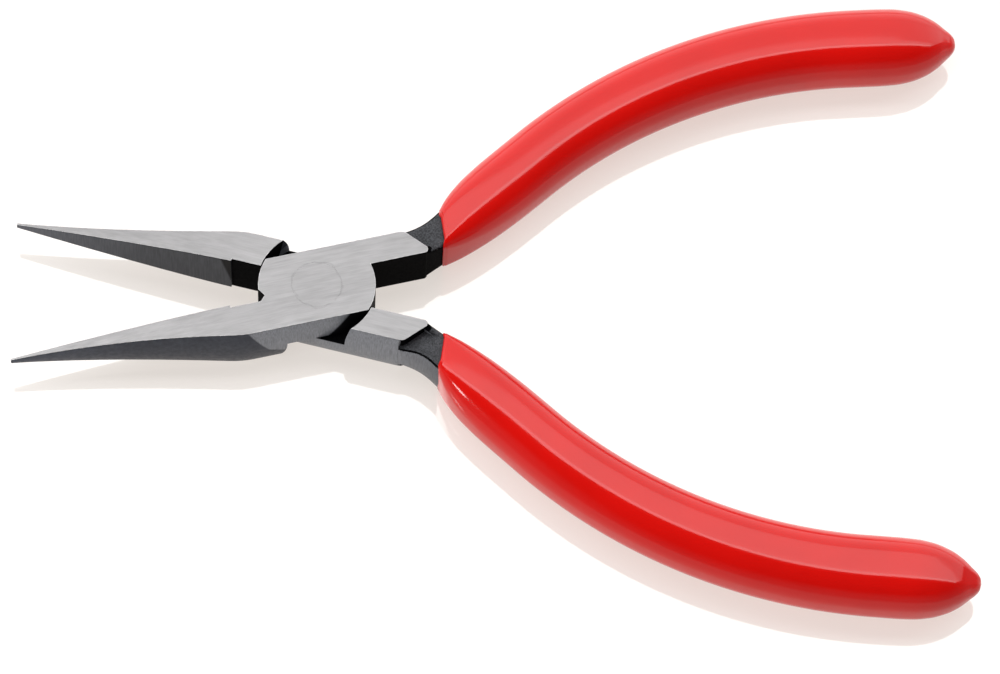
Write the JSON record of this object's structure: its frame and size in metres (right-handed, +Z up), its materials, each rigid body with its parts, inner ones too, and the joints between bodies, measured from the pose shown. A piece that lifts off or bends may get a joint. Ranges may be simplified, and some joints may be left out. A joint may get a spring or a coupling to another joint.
{
  "type": "flat-nose pliers",
  "caption": "Slim flat-nose pliers with a lap joint, long tapered smooth jaws, a flush rivet and dipped red grips.",
  "frame": {"origin": "pivot axis at the underside of the joint", "axes": "+X along the handles and away from the jaw tips, +Z up along the pivot, out of the top cheek"},
  "size_m": [0.1262, 0.0894, 0.0087],
  "materials": {
    "ground_steel": "ground flats over blackened forging",
    "rivet_steel": "ground flush",
    "grip_red": "glossy dipped plastic"
  },
  "bodies": {
    "top_half": {"top_lever": "ground_steel", "top_lever_grip": "grip_red", "joint_rivet": "rivet_steel"},
    "bottom_half": {"bottom_lever": "ground_steel", "bottom_lever_grip": "grip_red"}
  },
  "joints": [
    {"name": "jaw_pivot", "type": "hinge", "parent": "top_half", "child": "bottom_half", "pos_m": [0, 0, 0], "axis": [0, 0, 1], "range_deg": [-15, 27.5]}
  ]
}
